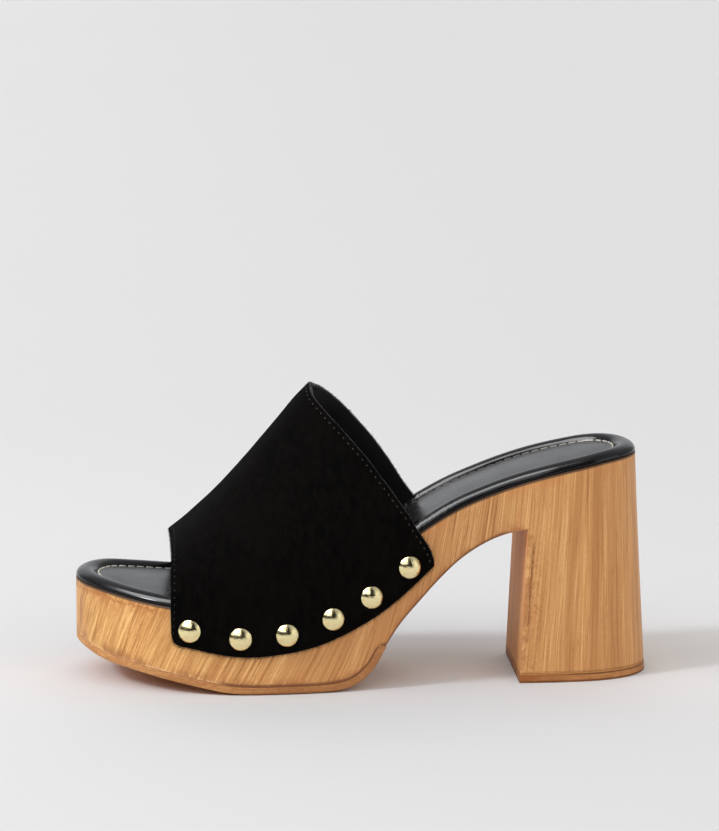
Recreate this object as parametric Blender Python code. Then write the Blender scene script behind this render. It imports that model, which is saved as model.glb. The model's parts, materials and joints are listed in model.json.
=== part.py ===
"""Left clog mule: a one-piece wooden platform sole with a block heel, a padded
leather insole and a wide suede band that dome-headed nails hold to the wood.

Lengths in the tables are millimetres; new_mesh() turns them into metres.
X runs from toe (-) to heel (+), Z is up, and the lateral (outer) side of the
foot is at -Y.  Widths are measured from the heel line, a fore-and-aft line
through the middle of the heel.
"""

import math
from collections import namedtuple

import bmesh
import bpy
import numpy as np
from mathutils import Matrix, Vector

MM = 0.001

# ---------------------------------------------------------------- driving sizes
HEEL_LINE_Y = 1.4          # heel line's offset from the middle of the shoe's box
FIT_GAP = 0.3              # clearance where two pieces touch

OUTSOLE_THICKNESS = 3.0
TOP_PIECE_THICKNESS = 4.0

BREAST_FOOT_X = 64.4       # heel breast at the floor
BREAST_TOP_X = 67.7        # heel breast where it meets the arch
HEEL_FLARE = 0.099         # the heel's spread at the floor, of its length
HEEL_TOP_Z = 94.0          # height where the flare starts
FLARE_CURVE = 1.15

BAND_WALL = 2.2            # suede and lining together
STRAIGHT_ABOVE_WOOD = 3.0  # the band stands straight this far past the wood's top

STUD_RADIUS = 4.85
STUD_HEIGHT = 2.3
NAIL_RADIUS = 1.1
NAIL_LENGTH = 13.0
NAIL_POINT = 2.5
NAIL_HOLE_SIDES = 8
NAIL_HOLE_CLEARANCE = 2.0  # the hole's cutter stands this far out of the band
STUD_SIDES = 12
STUD_DOME_RINGS = 4

CURVE_STEPS = 8            # points to each gap between rows, in plan and band curves
PROFILE_STEPS = 4          # the same in the side profiles
PLAN_STATIONS = 44         # cross lines from toe to heel in each lofted piece
BLOCK_LEVELS = (-6.0, 0.0, 24.0, 48.0, 72.0, 94.0, 106.0)
PRISM_REACH = 90.0         # half width of the side-profile prisms
BAND_SECTIONS = 22         # cross sections of the band, closer together at both ends
BAND_SIDE_ROWS = 5         # rows of faces up the straight side of the band
BAND_ARCH_ROWS = 8         # rows of faces from there to the crown

# ---------------------------------------------------------------- tables
PlanRow = namedtuple("PlanRow", "x lateral medial")
PLAN_TOE = (-121.5, 8.0)
PLAN_HEEL = (116.2, 0.0)
PLAN = (
    PlanRow(-117.5, -8.5, 24.0),
    PlanRow(-110.0, -19.0, 33.4),
    PlanRow(-98.0, -30.2, 38.5),
    PlanRow(-84.0, -38.6, 41.0),
    PlanRow(-68.0, -43.2, 42.0),
    PlanRow(-50.0, -44.8, 41.2),
    PlanRow(-30.0, -44.0, 38.0),
    PlanRow(-10.0, -41.4, 32.6),
    PlanRow(12.0, -37.6, 26.6),
    PlanRow(24.0, -35.4, 24.4),
    PlanRow(36.0, -33.3, 24.0),
    PlanRow(48.0, -31.6, 25.3),
    PlanRow(60.0, -30.5, 27.3),
    PlanRow(82.0, -29.8, 28.8),
    PlanRow(97.0, -27.3, 27.0),
    PlanRow(108.2, -20.6, 20.6),
    PlanRow(114.0, -12.0, 12.0),
)

ProfileRow = namedtuple("ProfileRow", "x z")
WOOD_TOP = (
    ProfileRow(-131.0, 42.4),
    ProfileRow(-113.0, 40.6),
    ProfileRow(-98.0, 38.5),
    ProfileRow(-82.0, 36.7),
    ProfileRow(-65.0, 35.4),
    ProfileRow(-49.0, 35.0),
    ProfileRow(-36.0, 35.9),
    ProfileRow(-23.0, 39.2),
    ProfileRow(-10.5, 44.8),
    ProfileRow(2.0, 52.6),
    ProfileRow(14.4, 61.3),
    ProfileRow(26.0, 69.0),
    ProfileRow(39.0, 76.1),
    ProfileRow(51.6, 81.1),
    ProfileRow(64.0, 85.2),
    ProfileRow(77.0, 88.7),
    ProfileRow(89.0, 91.3),
    ProfileRow(102.0, 93.7),
    ProfileRow(109.0, 94.4),
    ProfileRow(117.0, 94.7),
    ProfileRow(130.0, 95.0),
)

TREAD_TOE = (
    ProfileRow(-127.0, 17.0),
    ProfileRow(-121.7, 14.9),
    ProfileRow(-117.7, 13.4),
    ProfileRow(-112.7, 11.3),
    ProfileRow(-106.5, 9.8),
    ProfileRow(-100.0, 8.7),
    ProfileRow(-92.5, 7.3),
    ProfileRow(-84.7, 5.8),
    ProfileRow(-76.7, 4.2),
    ProfileRow(-68.7, 2.6),
    ProfileRow(-61.5, 1.2),
    ProfileRow(-54.5, 0.3),
    ProfileRow(-48.0, 0.0),
)
TREAD_REAR = (
    ProfileRow(-27.0, 0.0),
    ProfileRow(-19.0, 0.2),
    ProfileRow(-11.6, 0.9),
    ProfileRow(-6.4, 2.4),
    ProfileRow(-1.7, 5.4),
    ProfileRow(2.4, 9.7),
    ProfileRow(6.9, 17.2),
)
ARCH = (
    ProfileRow(6.6, 18.0),
    ProfileRow(13.2, 27.8),
    ProfileRow(21.6, 37.3),
    ProfileRow(30.1, 46.3),
    ProfileRow(38.6, 54.0),
    ProfileRow(47.2, 59.6),
    ProfileRow(55.6, 63.4),
    ProfileRow(67.7, 66.2),
)

BAND_LOWER_EDGE = (
    ProfileRow(-82.8, 24.0),
    ProfileRow(-82.4, 22.6),
    ProfileRow(-80.4, 21.1),
    ProfileRow(-76.0, 20.3),
    ProfileRow(-70.0, 19.1),
    ProfileRow(-62.7, 17.7),
    ProfileRow(-54.5, 16.7),
    ProfileRow(-46.0, 16.6),
    ProfileRow(-37.8, 17.4),
    ProfileRow(-29.5, 18.6),
    ProfileRow(-21.0, 20.7),
    ProfileRow(-12.7, 23.8),
    ProfileRow(-4.4, 27.7),
    ProfileRow(3.9, 32.4),
    ProfileRow(12.2, 38.3),
    ProfileRow(20.5, 45.4),
    ProfileRow(27.7, 52.0),
)
BAND_CROWN = (
    ProfileRow(-81.3, 61.0),
    ProfileRow(-76.3, 65.6),
    ProfileRow(-69.7, 72.1),
    ProfileRow(-62.9, 78.8),
    ProfileRow(-56.1, 86.2),
    ProfileRow(-49.2, 94.1),
    ProfileRow(-42.4, 102.2),
    ProfileRow(-35.6, 110.3),
    ProfileRow(-28.8, 118.6),
    ProfileRow(-22.8, 124.8),
)
BAND_REAR_LATERAL = (
    ProfileRow(27.7, 52.0),
    ProfileRow(27.3, 55.0),
    ProfileRow(26.2, 58.5),
    ProfileRow(23.5, 63.4),
    ProfileRow(20.3, 68.2),
    ProfileRow(16.8, 74.4),
    ProfileRow(12.7, 80.1),
    ProfileRow(8.3, 86.4),
    ProfileRow(5.0, 90.6),
    ProfileRow(0.6, 96.7),
    ProfileRow(-4.7, 102.7),
    ProfileRow(-9.9, 108.4),
    ProfileRow(-15.4, 114.0),
    ProfileRow(-18.6, 117.5),
    ProfileRow(-21.0, 120.0),
    ProfileRow(-22.4, 121.9),
    ProfileRow(-22.8, 124.8),
)
BAND_REAR_MEDIAL = (
    ProfileRow(27.7, 52.0),
    ProfileRow(28.9, 56.5),
    ProfileRow(28.3, 61.5),
    ProfileRow(27.0, 65.5),
    ProfileRow(24.8, 69.6),
    ProfileRow(21.4, 74.0),
    ProfileRow(18.0, 79.0),
    ProfileRow(14.5, 84.8),
    ProfileRow(11.1, 89.9),
    ProfileRow(7.7, 94.7),
    ProfileRow(4.2, 99.3),
    ProfileRow(0.7, 103.5),
    ProfileRow(-2.8, 107.6),
    ProfileRow(-6.3, 111.5),
    ProfileRow(-9.8, 115.2),
    ProfileRow(-13.4, 118.5),
    ProfileRow(-17.2, 121.6),
    ProfileRow(-22.8, 124.8),
)
BAND_FRONT = (
    ProfileRow(-82.8, 24.0),
    ProfileRow(-82.9, 37.7),
    ProfileRow(-82.8, 45.0),
    ProfileRow(-82.6, 51.6),
    ProfileRow(-82.2, 56.2),
    ProfileRow(-81.8, 59.2),
    ProfileRow(-81.3, 61.0),
)
BAND_FULLNESS_TOE = 0.16     # how far the band bulges past an ellipse at the toe
BAND_FULLNESS_THROAT = -0.06 # and how far it falls short of one at the throat
BAND_MEDIAL_SETBACK = 4.4    # the toe edge lies this far back at the medial foot

CushionRow = namedtuple("CushionRow", "inset height")
CUSHION = (
    CushionRow(0.7, 0.3),
    CushionRow(0.1, 1.0),
    CushionRow(0.0, 2.0),
    CushionRow(0.9, 3.2),
    CushionRow(2.6, 3.8),
    CushionRow(4.6, 4.0),
    CushionRow(6.6, 3.5),
    CushionRow(8.2, 2.3),
    CushionRow(8.6, 1.0),
)
SOCK = (
    CushionRow(9.0, 1.2),
    CushionRow(9.0, 1.7),
    CushionRow(9.5, 2.0),
)

StudRow = namedtuple("StudRow", "x z")
STUDS = (
    StudRow(-75.5, 28.0),
    StudRow(-54.3, 24.5),
    StudRow(-35.0, 25.9),
    StudRow(-15.2, 32.5),
    StudRow(0.9, 41.1),
    StudRow(17.2, 52.9),
)

Finish = namedtuple("Finish", "colour roughness metallic")
FINISHES = {                  # linear colours
    "wood": Finish((0.62, 0.34, 0.14), 0.55, 0.0),
    "outsole_rubber": Finish((0.55, 0.27, 0.12), 0.60, 0.0),
    "insole_leather": Finish((0.012, 0.012, 0.014), 0.35, 0.0),
    "suede": Finish((0.006, 0.005, 0.005), 0.95, 0.0),
    "brass": Finish((0.83, 0.66, 0.34), 0.18, 1.0),
}


# ---------------------------------------------------------------- curves
def smooth_curve(rows, steps):
    """Points on a smooth curve through the rows, `steps` to each gap between them."""
    points = np.array(rows, dtype=float)
    lengths = np.linalg.norm(np.diff(points, axis=0), axis=1)
    along = np.concatenate(([0.0], np.cumsum(lengths)))
    slopes = np.gradient(points, along, axis=0)
    curve = []
    for i, length in enumerate(lengths):
        for t in np.arange(steps) / steps:
            curve.append((2 * t**3 - 3 * t**2 + 1) * points[i]
                         + (t**3 - 2 * t**2 + t) * length * slopes[i]
                         + (-2 * t**3 + 3 * t**2) * points[i + 1]
                         + (t**3 - t**2) * length * slopes[i + 1])
    curve.append(points[-1])
    return np.array(curve)


def smooth_loop(rows, steps):
    """The same through a closed ring of rows, without repeating the first point."""
    wrap = 3
    ring = list(rows)
    padded = ring[-wrap:] + ring + ring[:wrap]
    curve = smooth_curve(padded, steps)
    return curve[wrap * steps:(wrap + len(ring)) * steps]


def parallel_line(line, distance):
    """The line moved sideways by `distance`, to the left of its direction."""
    direction = np.gradient(line, axis=0)
    direction /= np.linalg.norm(direction, axis=1)[:, None]
    left = np.stack([-direction[:, 1], direction[:, 0]], axis=1)
    return line + distance * left


def extended(line, distance):
    """The line, carried straight on past its end."""
    direction = line[-1] - line[-2]
    direction /= np.linalg.norm(direction)
    return np.vstack([line, line[-1] + distance * direction])


def at_fraction(line, fraction):
    """Point at each fraction of the line's length."""
    lengths = np.linalg.norm(np.diff(line, axis=0), axis=1)
    along = np.concatenate(([0.0], np.cumsum(lengths)))
    wanted = np.asarray(fraction) * along[-1]
    return np.stack([np.interp(wanted, along, line[:, k]) for k in range(2)], axis=-1)


# ---------------------------------------------------------------- plan outline
def plan_loop():
    """The sole's outline from above: toe, lateral side, heel, medial side."""
    lateral = [(row.x, row.lateral) for row in PLAN]
    medial = [(row.x, row.medial) for row in reversed(PLAN)]
    return smooth_loop([PLAN_TOE] + lateral + [PLAN_HEEL] + medial, CURVE_STEPS)


def plan_sides(outset):
    """Lateral and medial halves of the outline, moved outward by `outset`."""
    loop = plan_loop()
    padded = np.vstack([loop[-1:], loop, loop[:1]])
    moved = parallel_line(padded, -outset)[1:-1]
    toe = int(np.argmin(moved[:, 0]))
    moved = np.roll(moved, -toe, axis=0)
    heel = int(np.argmax(moved[:, 0]))
    lateral = moved[:heel + 1]
    medial = np.vstack([moved[heel:], moved[:1]])[::-1]
    return lateral, medial


def side_widths(outset, x):
    """Lateral and medial Y of the outline at each x."""
    lateral, medial = plan_sides(outset)
    return (np.interp(x, lateral[:, 0], lateral[:, 1]),
            np.interp(x, medial[:, 0], medial[:, 1]))


def plan_ring(outset):
    """The outline as a ring of (x, y): lateral side back to the heel, medial side home.

    Point i of the lateral side and point -i of the medial side share one x.
    """
    lateral, medial = plan_sides(outset)
    turn = np.linspace(0.0, math.pi, PLAN_STATIONS + 1)
    toe_x, heel_x = lateral[0, 0], lateral[-1, 0]
    x = toe_x + (heel_x - toe_x) * (1 - np.cos(turn)) / 2
    lateral_y = np.interp(x, lateral[:, 0], lateral[:, 1])
    medial_y = np.interp(x, medial[:, 0], medial[:, 1])
    there = np.stack([x, lateral_y], axis=1)
    back = np.stack([x, medial_y], axis=1)[-2:0:-1]
    return np.vstack([there, back])


# ---------------------------------------------------------------- side profiles
def wood_top_line():
    return smooth_curve(WOOD_TOP, PROFILE_STEPS)


def tread_line():
    """Where the sole meets the floor, from the toe's front to the outsole's end."""
    toe = smooth_curve(TREAD_TOE, PROFILE_STEPS)
    rear = smooth_curve(TREAD_REAR, PROFILE_STEPS)
    return np.vstack([toe, rear])


def arch_line():
    return smooth_curve(ARCH, PROFILE_STEPS)


def wood_top_at(x):
    line = wood_top_line()
    return np.interp(x, line[:, 0], line[:, 1])


def wood_top_slant(x):
    """Length along the wood's top for each millimetre of x."""
    line = wood_top_line()
    slope = np.gradient(line[:, 1], line[:, 0])
    return np.hypot(1.0, np.interp(x, line[:, 0], slope))


def wood_profile():
    """Side view of the wood: top line, heel, breast, arch and platform."""
    top = wood_top_line()
    heel_floor = TOP_PIECE_THICKNESS + FIT_GAP
    breast_lean = (BREAST_TOP_X - BREAST_FOOT_X) / ARCH[-1].z
    rear_x = top[-1, 0]
    heel = [(rear_x, heel_floor), (BREAST_FOOT_X + breast_lean * heel_floor, heel_floor)]
    arch = arch_line()[::-1]
    tread = extended(tread_line(), FIT_GAP)
    platform = parallel_line(tread, OUTSOLE_THICKNESS + FIT_GAP)[::-1]
    return np.vstack([top, heel, arch, platform])


def outsole_profile():
    tread = tread_line()
    inner = parallel_line(tread, OUTSOLE_THICKNESS)[::-1]
    return np.vstack([tread, inner])


def top_piece_profile():
    lean = (BREAST_TOP_X - BREAST_FOOT_X) / ARCH[-1].z
    rear_x = WOOD_TOP[-1].x
    return np.array([(BREAST_FOOT_X, 0.0),
                     (rear_x, 0.0),
                     (rear_x, TOP_PIECE_THICKNESS),
                     (BREAST_FOOT_X + lean * TOP_PIECE_THICKNESS, TOP_PIECE_THICKNESS)])


# ---------------------------------------------------------------- meshes
def new_material(name):
    finish = FINISHES[name]
    material = bpy.data.materials.new(name)
    material.use_nodes = True
    shader = material.node_tree.nodes["Principled BSDF"]
    shader.inputs["Base Color"].default_value = (*finish.colour, 1.0)
    shader.inputs["Roughness"].default_value = finish.roughness
    shader.inputs["Metallic"].default_value = finish.metallic
    material.diffuse_color = (*finish.colour, 1.0)
    return material


def new_mesh(name, vertices, faces):
    """A mesh in metres from vertices in millimetres, its faces turned outward."""
    mesh = bpy.data.meshes.new(name)
    mesh.from_pydata([Vector(v) * MM for v in np.asarray(vertices, dtype=float)], [], faces)
    shape = bmesh.new()
    shape.from_mesh(mesh)
    bmesh.ops.recalc_face_normals(shape, faces=shape.faces)
    shape.to_mesh(mesh)
    shape.free()
    return mesh


def new_object(name, mesh, material, parent):
    piece = bpy.data.objects.new(name, mesh)
    bpy.context.scene.collection.objects.link(piece)
    piece.parent = parent
    if material is not None:
        mesh.materials.append(material)
    return piece


def new_cutter(name, mesh, parent):
    cutter = new_object(name, mesh, None, parent)
    cutter.hide_render = True
    cutter.display_type = "WIRE"
    return cutter


def cut(piece, cutter, operation):
    boolean = piece.modifiers.new(cutter.name, "BOOLEAN")
    boolean.operation = operation
    boolean.solver = "EXACT"
    boolean.object = cutter


def loft_rings(rings):
    """Vertices and faces through equal rings from plan_ring(), closed at both ends."""
    count = len(rings[0])
    half = count // 2
    vertices = np.vstack(rings)
    faces = []
    for level in range(len(rings) - 1):
        low = level * count
        for i in range(count):
            j = (i + 1) % count
            faces.append((low + i, low + j, low + count + j, low + count + i))
    for base in (0, (len(rings) - 1) * count):
        for i in range(half):
            corners = (i, i + 1, (count - i - 1) % count, (count - i) % count)
            faces.append(tuple(base + c for c in dict.fromkeys(corners)))
    return vertices, faces


def heel_spread(ring, z):
    """The plan ring at height z: the heel grows towards the floor."""
    drop = max(0.0, (HEEL_TOP_Z - z) / HEEL_TOP_Z)
    spread = HEEL_FLARE * drop**FLARE_CURVE
    x = ring[:, 0].copy()
    behind = x > BREAST_TOP_X
    x[behind] = BREAST_TOP_X + (x[behind] - BREAST_TOP_X) * (1 + spread)
    return np.column_stack([x, ring[:, 1], np.full(len(x), z)])


def sole_block(name):
    """The outline carried from below the floor to above the heel, with its flare."""
    ring = plan_ring(0.0)
    return new_mesh(name, *loft_rings([heel_spread(ring, z) for z in BLOCK_LEVELS]))


def profile_prism(name, profile):
    """The side profile carried right across the shoe."""
    count = len(profile)
    near = [(x, -PRISM_REACH, z) for x, z in profile]
    far = [(x, PRISM_REACH, z) for x, z in profile]
    faces = [tuple(range(count)), tuple(range(2 * count - 1, count - 1, -1))]
    for i in range(count):
        j = (i + 1) % count
        faces.append((i, j, count + j, count + i))
    return new_mesh(name, near + far, faces)


def sole_piece(name, profile, material, parent):
    """A slice of the sole's block between the lines of a side profile."""
    piece = new_object(name, sole_block(name), material, parent)
    cutter = new_cutter(name + "_profile", profile_prism(name + "_profile", profile), parent)
    cut(piece, cutter, "INTERSECT")
    return piece


def on_wood_ring(row):
    """A ring that follows the wood's top at the row's inset and height."""
    ring = plan_ring(-row.inset)
    x = ring[:, 0]
    z = wood_top_at(x) + row.height * wood_top_slant(x)
    return np.column_stack([x, ring[:, 1], z])


def on_wood_piece(name, rows, material, parent):
    mesh = new_mesh(name, *loft_rings([on_wood_ring(row) for row in rows]))
    return new_object(name, mesh, material, parent)


# ---------------------------------------------------------------- the band
def by_height(rows, fraction):
    """Point of an edge at each fraction of its height."""
    line = smooth_curve(rows, CURVE_STEPS)
    z = line[0, 1] + (line[-1, 1] - line[0, 1]) * np.asarray(fraction)
    return np.stack([np.interp(z, line[:, 1], line[:, 0]), z], axis=-1)


def band_side_view(u, n, rear_rows):
    """(x, z) on the band at u from toe edge to throat edge, n from foot to crown."""
    lower = at_fraction(smooth_curve(BAND_LOWER_EDGE, CURVE_STEPS), u)
    crown = at_fraction(smooth_curve(BAND_CROWN, CURVE_STEPS), u)
    front = by_height(BAND_FRONT, n)
    rear = by_height(rear_rows, n)
    corners = ((1 - u) * (1 - n) * np.array(BAND_FRONT[0])
               + u * (1 - n) * np.array(rear_rows[0])
               + (1 - u) * n * np.array(BAND_FRONT[-1])
               + u * n * np.array(rear_rows[-1]))
    view = (1 - n) * lower + n * crown + (1 - u) * front + u * rear - corners
    if rear_rows is BAND_REAR_MEDIAL:
        view[0] += BAND_MEDIAL_SETBACK * (1 - u)**2 * (1 - n**2)
    return view


def straight_share(u, rear_rows):
    """Share of the section's height that stands straight beside wood and insole."""
    low, high = 0.0, 1.0
    for _ in range(30):
        middle = (low + high) / 2
        x, z = band_side_view(u, middle, rear_rows)
        if z < wood_top_at(x) + STRAIGHT_ABOVE_WOOD:
            low = middle
        else:
            high = middle
    return low


def band_section(u, side):
    """Points of one half section, foot to crown, on the outer face of the band."""
    rear_rows = BAND_REAR_LATERAL if side < 0 else BAND_REAR_MEDIAL
    fullness = BAND_FULLNESS_TOE + (BAND_FULLNESS_THROAT - BAND_FULLNESS_TOE) * u
    outset = FIT_GAP + BAND_WALL
    share = straight_share(u, rear_rows)
    points = []
    for row in range(BAND_SIDE_ROWS):
        x, z = band_side_view(u, share * row / BAND_SIDE_ROWS, rear_rows)
        points.append((x, side_widths(outset, x)[0 if side < 0 else 1], z))
    shoulder_x, _ = band_side_view(u, share, rear_rows)
    shoulder_y = side_widths(outset, shoulder_x)[0 if side < 0 else 1]
    for row in range(BAND_ARCH_ROWS + 1):
        turn = math.pi / 2 * row / BAND_ARCH_ROWS
        n = share + (1 - share) * math.sin(turn)
        x, z = band_side_view(u, n, rear_rows)
        reach = math.cos(turn) * (1 + fullness * math.sin(turn)**2)
        points.append((x, shoulder_y * reach, z))
    return points


def band_grid():
    """Outer face of the band: one row of points for each section, side to side."""
    grid = []
    for turn in np.linspace(0.0, math.pi, BAND_SECTIONS + 1):
        u = (1 - math.cos(turn)) / 2
        lateral = band_section(u, -1)
        medial = band_section(u, 1)
        grid.append(lateral + medial[-2::-1])
    return np.array(grid)


def grid_normals(grid):
    along = np.gradient(grid, axis=0)
    across = np.gradient(grid, axis=1)
    normals = np.cross(along, across)
    normals /= np.linalg.norm(normals, axis=2)[:, :, None]
    middle = grid.shape[1] // 2
    if normals[0, middle, 2] < 0:
        normals = -normals
    return normals


def band_mesh(name):
    outer = band_grid()
    inner = outer - BAND_WALL * grid_normals(outer)
    rows, columns = outer.shape[:2]
    vertices = np.vstack([outer.reshape(-1, 3), inner.reshape(-1, 3)])
    back = rows * columns

    def index(row, column, layer):
        return layer * back + row * columns + column

    faces = []
    for row in range(rows - 1):
        for column in range(columns - 1):
            for layer in (0, 1):
                faces.append((index(row, column, layer), index(row, column + 1, layer),
                              index(row + 1, column + 1, layer), index(row + 1, column, layer)))
        for column in (0, columns - 1):
            faces.append((index(row, column, 0), index(row + 1, column, 0),
                          index(row + 1, column, 1), index(row, column, 1)))
    for column in range(columns - 1):
        for row in (0, rows - 1):
            faces.append((index(row, column, 0), index(row, column + 1, 0),
                          index(row, column + 1, 1), index(row, column, 1)))
    return new_mesh(name, vertices, faces)


# ---------------------------------------------------------------- studs
def turned_mesh(name, profile, sides):
    """A closed turned solid about Z from (radius, height) rows, tips at both ends."""
    vertices = [(0.0, 0.0, profile[0][1])]
    for radius, height in profile[1:-1]:
        for i in range(sides):
            turn = 2 * math.pi * i / sides
            vertices.append((radius * math.cos(turn), radius * math.sin(turn), height))
    vertices.append((0.0, 0.0, profile[-1][1]))
    last = len(vertices) - 1
    rings = len(profile) - 2
    faces = []
    for i in range(sides):
        j = (i + 1) % sides
        faces.append((0, 1 + i, 1 + j))
        for ring in range(rings - 1):
            low = 1 + ring * sides
            faces.append((low + i, low + sides + i, low + sides + j, low + j))
        low = 1 + (rings - 1) * sides
        faces.append((low + i, last, low + j))
    return new_mesh(name, vertices, faces)


def stud_mesh():
    """A domed head with its flat underside at z = 0 and a pointed nail below."""
    dome_radius = (STUD_RADIUS**2 + STUD_HEIGHT**2) / (2 * STUD_HEIGHT)
    edge_turn = math.asin(STUD_RADIUS / dome_radius)
    centre = STUD_HEIGHT - dome_radius
    dome = [(0.0, STUD_HEIGHT)]
    for ring in range(1, STUD_DOME_RINGS + 1):
        turn = edge_turn * ring / STUD_DOME_RINGS
        dome.append((dome_radius * math.sin(turn), centre + dome_radius * math.cos(turn)))
    nail = [(NAIL_RADIUS, 0.0),
            (NAIL_RADIUS, NAIL_POINT - NAIL_LENGTH),
            (0.0, -NAIL_LENGTH)]
    return turned_mesh("stud", dome + nail, STUD_SIDES)


def nail_hole_mesh():
    radius = NAIL_RADIUS + FIT_GAP
    deep = -NAIL_LENGTH - 1.0
    rows = [(0.0, NAIL_HOLE_CLEARANCE),
            (radius, NAIL_HOLE_CLEARANCE),
            (radius, deep),
            (0.0, deep)]
    return turned_mesh("nail_hole", rows, NAIL_HOLE_SIDES)


def stud_matrix(row, side):
    """Where a stud sits: on the band's outer face, its axis square to the wood's side."""
    outset = 2 * FIT_GAP + BAND_WALL
    column = 0 if side < 0 else 1
    y = float(side_widths(outset, row.x)[column])
    ahead = float(side_widths(outset, row.x + 1.0)[column])
    behind = float(side_widths(outset, row.x - 1.0)[column])
    outward = Vector((-side * (ahead - behind) / 2.0, side, 0.0)).normalized()
    turn = outward.to_track_quat("Z", "Y").to_matrix().to_4x4()
    return Matrix.Translation(Vector((row.x, y, row.z)) * MM) @ turn


def add_studs(wood, upper, material, parent):
    """Six nails on each side, and the holes that they pass through."""
    stud = stud_mesh()
    stud.materials.append(material)
    stud.shade_smooth()
    stud.set_sharp_from_angle(angle=math.radians(50))
    hole = nail_hole_mesh()
    for side, side_name in ((-1, "lateral"), (1, "medial")):
        for number, row in enumerate(STUDS, start=1):
            place = stud_matrix(row, side)
            piece = new_object(f"stud_{side_name}_{number}", stud, None, parent)
            piece.matrix_local = place
            cutter = new_cutter(f"nail_hole_{side_name}_{number}", hole, parent)
            cutter.matrix_local = place
            cut(wood, cutter, "DIFFERENCE")
            cut(upper, cutter, "DIFFERENCE")


# ---------------------------------------------------------------- assembly
def clear_scene():
    for thing in list(bpy.data.objects):
        bpy.data.objects.remove(thing)


def add_root():
    """The empty that every piece hangs from, on the heel line."""
    root = bpy.data.objects.new("clog", None)
    bpy.context.scene.collection.objects.link(root)
    root.location = (0.0, HEEL_LINE_Y * MM, 0.0)
    return root


def shade(piece, angle):
    piece.data.shade_smooth()
    piece.data.set_sharp_from_angle(angle=math.radians(angle))


def main():
    clear_scene()
    materials = {name: new_material(name) for name in FINISHES}
    root = add_root()
    wood = sole_piece("wood_sole", wood_profile(), materials["wood"], root)
    outsole = sole_piece("forefoot_outsole", outsole_profile(), materials["outsole_rubber"], root)
    top_piece = sole_piece("heel_top_piece", top_piece_profile(),
                           materials["outsole_rubber"], root)
    cushion = on_wood_piece("insole_cushion", CUSHION, materials["insole_leather"], root)
    sock = on_wood_piece("sock_panel", SOCK, materials["insole_leather"], root)
    upper = new_object("upper", band_mesh("upper"), materials["suede"], root)
    add_studs(wood, upper, materials["brass"], root)
    for piece in (wood, outsole, top_piece, cushion, sock, upper):
        shade(piece, 40)


if __name__ == "__main__":
    main()
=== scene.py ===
"""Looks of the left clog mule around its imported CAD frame.

Lengths in the tables are millimetres, the same named values as the CAD source
has; placed() turns them into metres in the frame.  X runs from toe (-) to heel
(+), Z is up, and the lateral (outer) side is at -Y.
"""

import json
import math
import random
from collections import namedtuple
from functools import cache, cached_property

import bmesh
import bpy
import numpy as np
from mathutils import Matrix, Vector


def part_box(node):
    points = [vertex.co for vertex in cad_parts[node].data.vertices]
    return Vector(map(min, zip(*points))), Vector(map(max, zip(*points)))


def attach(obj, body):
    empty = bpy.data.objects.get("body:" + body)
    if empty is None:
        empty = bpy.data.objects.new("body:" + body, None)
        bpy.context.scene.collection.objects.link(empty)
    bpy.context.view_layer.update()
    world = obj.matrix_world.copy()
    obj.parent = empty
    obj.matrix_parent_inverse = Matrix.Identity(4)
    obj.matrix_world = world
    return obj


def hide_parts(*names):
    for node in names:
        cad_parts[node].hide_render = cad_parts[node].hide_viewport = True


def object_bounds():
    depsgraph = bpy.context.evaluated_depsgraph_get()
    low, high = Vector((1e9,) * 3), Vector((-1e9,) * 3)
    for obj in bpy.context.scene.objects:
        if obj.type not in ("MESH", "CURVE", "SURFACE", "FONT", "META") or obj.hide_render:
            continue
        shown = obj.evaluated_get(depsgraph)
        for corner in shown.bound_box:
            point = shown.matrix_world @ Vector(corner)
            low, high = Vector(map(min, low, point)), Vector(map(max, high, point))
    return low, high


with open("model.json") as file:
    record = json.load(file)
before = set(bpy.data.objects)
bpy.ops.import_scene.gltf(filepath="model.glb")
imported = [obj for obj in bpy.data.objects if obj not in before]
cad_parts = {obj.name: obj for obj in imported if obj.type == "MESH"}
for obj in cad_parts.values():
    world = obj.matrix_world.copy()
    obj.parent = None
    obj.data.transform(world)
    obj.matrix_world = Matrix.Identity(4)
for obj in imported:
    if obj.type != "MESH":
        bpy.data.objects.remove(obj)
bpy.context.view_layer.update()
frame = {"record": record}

MM = 0.001

# ------- CAD values
FIT_GAP = 0.3
OUTSOLE_THICKNESS = 3.0
TOP_PIECE_THICKNESS = 4.0
BREAST_FOOT_X = 64.4
BREAST_TOP_X = 67.7
HEEL_FLARE = 0.099
HEEL_TOP_Z = 94.0
FLARE_CURVE = 1.15
BAND_WALL = 2.2
STRAIGHT_ABOVE_WOOD = 3.0
STUD_RADIUS = 4.85
STUD_HEIGHT = 2.3
BAND_FULLNESS_TOE = 0.16
BAND_FULLNESS_THROAT = -0.06
BAND_MEDIAL_SETBACK = 4.4

PLAN_TOE = (-121.5, 8)
PLAN_HEEL = (116.2, 0)
PLAN = (  # x, lateral y, medial y
    (-117.5, -8.5, 24), (-110, -19, 33.4), (-98, -30.2, 38.5), (-84, -38.6, 41),
    (-68, -43.2, 42), (-50, -44.8, 41.2), (-30, -44, 38), (-10, -41.4, 32.6),
    (12, -37.6, 26.6), (24, -35.4, 24.4), (36, -33.3, 24), (48, -31.6, 25.3),
    (60, -30.5, 27.3), (82, -29.8, 28.8), (97, -27.3, 27), (108.2, -20.6, 20.6),
    (114, -12, 12))

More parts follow.
